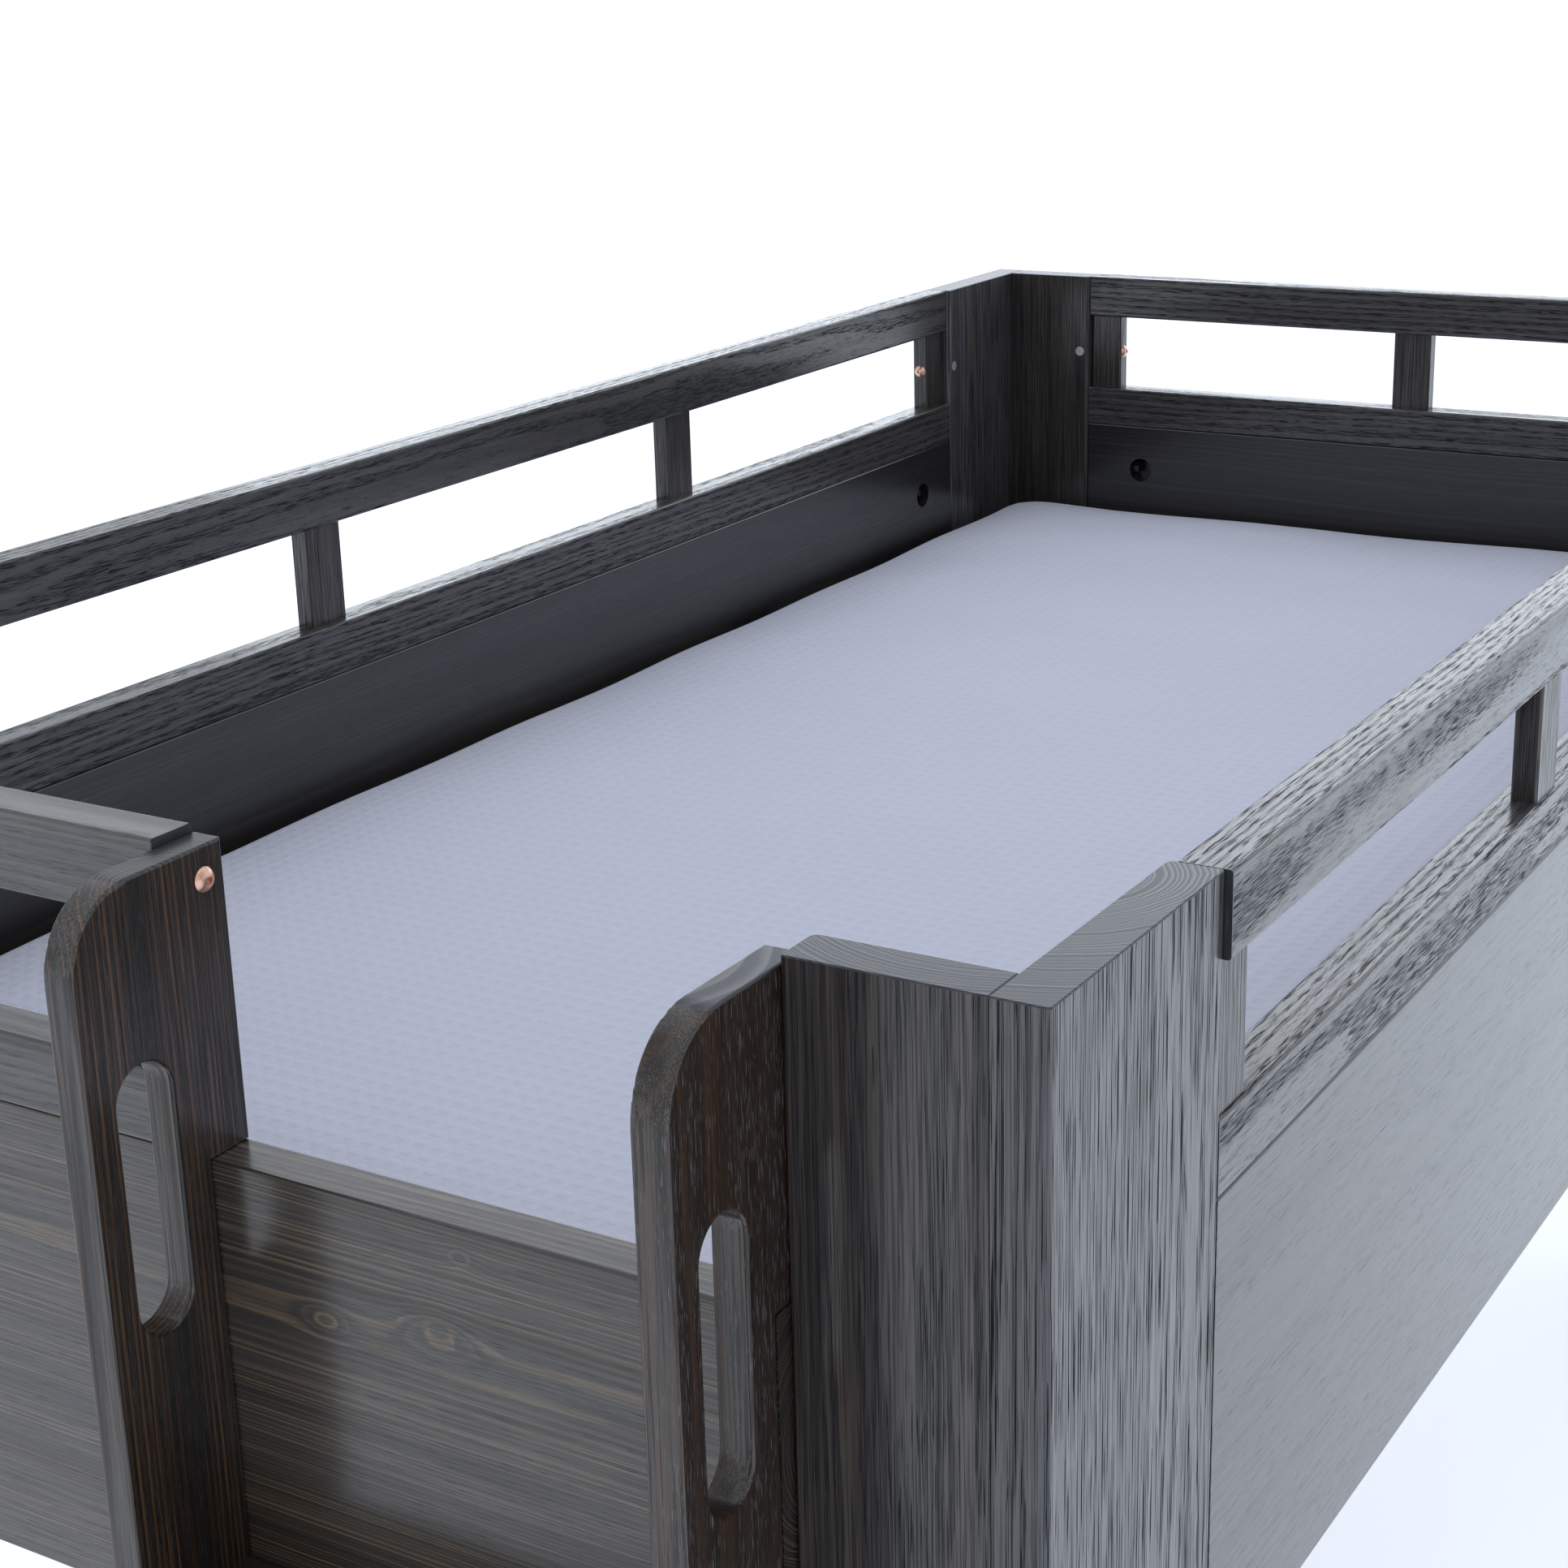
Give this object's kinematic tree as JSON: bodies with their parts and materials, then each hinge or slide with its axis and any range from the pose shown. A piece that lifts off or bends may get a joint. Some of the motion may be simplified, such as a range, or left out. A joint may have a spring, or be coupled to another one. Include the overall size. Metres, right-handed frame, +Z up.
{
  "type": "mid sleeper bed",
  "caption": "Raised child's bed of stained boards: L-shaped corner posts, wide side planks with open guard rails, slatted base, mattress and a fixed ladder at one end.",
  "frame": {"origin": "on the floor, under the middle of the bed with its ladder", "axes": "+Z up; +Y along the bed from the ladder end to the far end; +X to the right when facing the ladder"},
  "size_m": [1.078, 2.173, 1.15],
  "materials": {
    "stained_wood": "dark stained, open grained wood with a low satin sheen",
    "slat_wood": "planed raw softwood",
    "copper": "satin copper plating on steel",
    "zinc_steel": "bright zinc plating",
    "mattress_fabric": "soft light grey waffle knit cover",
    "webbing": "flat cotton webbing",
    "glide_plastic": "matt moulded plastic"
  },
  "bodies": {
    "root": {"barrel_nuts": "zinc_steel", "coach_screws": "zinc_steel", "copper_bolts": "copper", "entry_plank": "stained_wood", "entry_rail": "stained_wood", "entry_sill": "stained_wood", "entry_upright_1": "stained_wood", "entry_upright_2": "stained_wood", "far_left_end_board": "stained_wood", "far_left_side_board": "stained_wood", "far_plank": "stained_wood", "far_rail": "stained_wood", "far_right_end_board": "stained_wood", "far_right_side_board": "stained_wood", "far_sill": "stained_wood", "far_upright_1": "stained_wood", "far_upright_2": "stained_wood", "far_upright_3": "stained_wood", "glides": "glide_plastic", "ladder_stringer_left": "stained_wood", "ladder_stringer_right": "stained_wood", "ladder_tread_1": "stained_wood", "ladder_tread_2": "stained_wood", "ladder_tread_3": "stained_wood", "ledger_left": "stained_wood", "ledger_right": "stained_wood", "left_plank": "stained_wood", "left_rail": "stained_wood", "left_sill": "stained_wood", "left_upright_1": "stained_wood", "left_upright_2": "stained_wood", "left_upright_3": "stained_wood", "left_upright_4": "stained_wood", "mattress": "mattress_fabric", "near_left_end_board": "stained_wood", "near_left_side_board": "stained_wood", "near_right_end_board": "stained_wood", "near_right_side_board": "stained_wood", "right_plank": "stained_wood", "right_rail": "stained_wood", "right_sill": "stained_wood", "right_upright_1": "stained_wood", "right_upright_2": "stained_wood", "right_upright_3": "stained_wood", "right_upright_4": "stained_wood", "slat_01": "slat_wood", "slat_02": "slat_wood", "slat_03": "slat_wood", "slat_04": "slat_wood", "slat_05": "slat_wood", "slat_06": "slat_wood", "slat_07": "slat_wood", "slat_08": "slat_wood", "slat_09": "slat_wood", "slat_10": "slat_wood", "slat_11": "slat_wood", "slat_12": "slat_wood", "slat_straps": "webbing", "wood_screws": "zinc_steel"}
  },
  "joints": []
}
